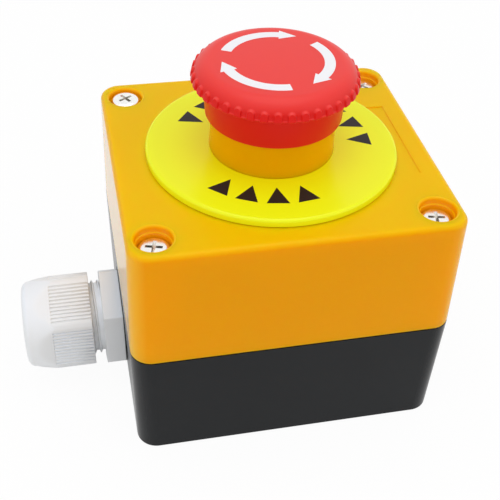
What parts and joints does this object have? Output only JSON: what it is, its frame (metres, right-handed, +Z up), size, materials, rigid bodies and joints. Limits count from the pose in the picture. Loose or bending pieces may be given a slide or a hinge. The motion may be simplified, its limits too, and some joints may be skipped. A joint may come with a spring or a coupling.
{
  "type": "emergency stop push button",
  "caption": "Emergency stop station: red twist-release mushroom button with a toothed rim on a round yellow plate, in an amber and black box enclosure with a cable gland.",
  "frame": {"origin": "centre of the underside of the enclosure base", "axes": "+Z up through the button, -X out of the cable gland, -Y towards the front long side"},
  "size_m": [0.102, 0.072, 0.0861],
  "materials": {
    "base_plastic": "fine moulded satin",
    "cover_plastic": "moulded, soft gloss",
    "legend_plastic": "smooth, soft gloss",
    "head_plastic": "moulded, soft gloss",
    "gland_plastic": "moulded polyamide",
    "rubber": "matte",
    "screw_steel": "zinc plated",
    "spring_steel": "drawn wire",
    "operator_plastic": "moulded polyamide",
    "block_plastic": "moulded polyamide",
    "plunger_plastic": "moulded acetal",
    "contact_brass": "stamped"
  },
  "bodies": {
    "station": {"enclosure_base": "base_plastic", "enclosure_cover": "cover_plastic", "cover_gasket": "rubber", "cover_screws": "screw_steel", "legend_plate": "legend_plastic", "bezel_collar": "cover_plastic", "panel_seal": "rubber", "operator_barrel": "operator_plastic", "lock_washer": "screw_steel", "fixing_nut": "operator_plastic", "contact_carrier": "block_plastic", "carrier_screws": "screw_steel", "nc_block_housing": "block_plastic", "nc_block_base": "block_plastic", "nc_fixed_contacts": "contact_brass", "no_block_housing": "block_plastic", "no_block_base": "block_plastic", "no_fixed_contacts": "contact_brass", "terminal_screws": "screw_steel", "terminal_clamps": "contact_brass", "gland_body": "gland_plastic", "gland_gasket": "rubber", "gland_seal": "rubber", "gland_locknut": "gland_plastic", "gland_cap_nut": "gland_plastic", "return_spring": "spring_steel", "nc_spring": "spring_steel", "no_spring": "spring_steel"},
    "plunger": {"plunger_stem": "operator_plastic", "stem_clip": "screw_steel", "contact_pusher": "plunger_plastic"},
    "head": {"mushroom_head": "head_plastic", "release_sleeve": "operator_plastic", "torsion_spring": "spring_steel"},
    "nc_contact": {"nc_plunger": "plunger_plastic", "nc_bridge": "contact_brass"},
    "no_contact": {"no_plunger": "plunger_plastic", "no_bridge": "contact_brass"}
  },
  "joints": [
    {"name": "press", "type": "slide", "parent": "station", "child": "plunger", "axis": [0, 0, -1], "range_m": [0, 0.006], "stiffness_N_per_m": 2000, "springref_m": -0.002, "deforming": ["return_spring"]},
    {"name": "twist", "type": "hinge", "parent": "plunger", "child": "head", "pos_m": [0, 0, 0.0815], "axis": [0, 0, 1], "range_deg": [0, 30], "deforming": ["torsion_spring"]},
    {"name": "nc_travel", "type": "slide", "parent": "station", "child": "nc_contact", "axis": [0, 0, -1], "range_m": [0, 0.006], "deforming": ["nc_spring"]},
    {"name": "no_travel", "type": "slide", "parent": "station", "child": "no_contact", "axis": [0, 0, -1], "range_m": [0, 0.006], "deforming": ["no_spring"]}
  ],
  "couplings": [
    {"joint": "nc_travel", "follows": "press", "ratio": 1},
    {"joint": "no_travel", "follows": "press", "ratio": 1}
  ]
}
